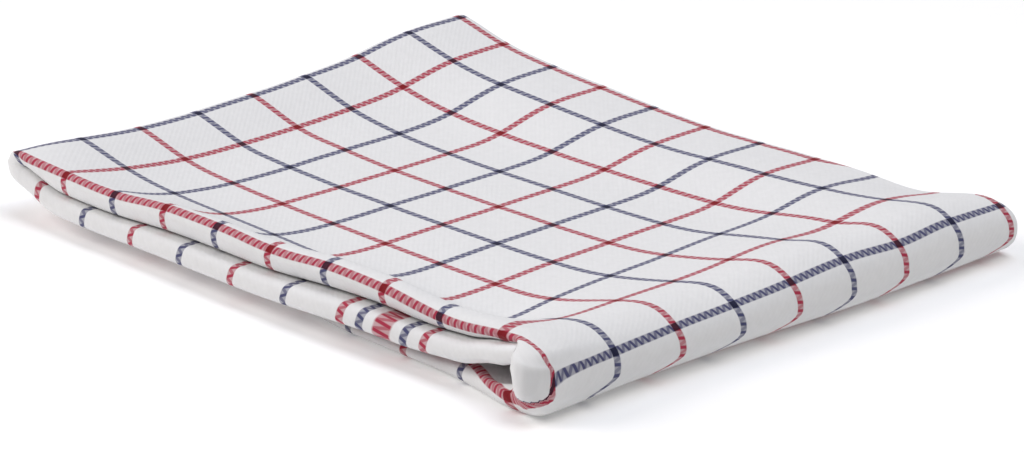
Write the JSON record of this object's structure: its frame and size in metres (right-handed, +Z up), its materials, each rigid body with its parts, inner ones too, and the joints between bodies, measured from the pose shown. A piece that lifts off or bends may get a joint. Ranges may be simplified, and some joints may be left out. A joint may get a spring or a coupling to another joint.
{
  "type": "folded tea towel",
  "caption": "Rectangular woven tea towel, folded in thirds across and then along into a flat layered stack with one round end fold.",
  "frame": {"origin": "centre of the bounding box in plan, on the surface the towel lies on", "axes": "+X along the folded strip, from the tight fold to the round end fold; +Y across it, away from the front roll; +Z up"},
  "size_m": [0.2328, 0.2008, 0.0256],
  "materials": {
    "woven_cotton": "matt woven cotton"
  },
  "bodies": {
    "root": {"tea_towel": "woven_cotton"}
  },
  "joints": []
}
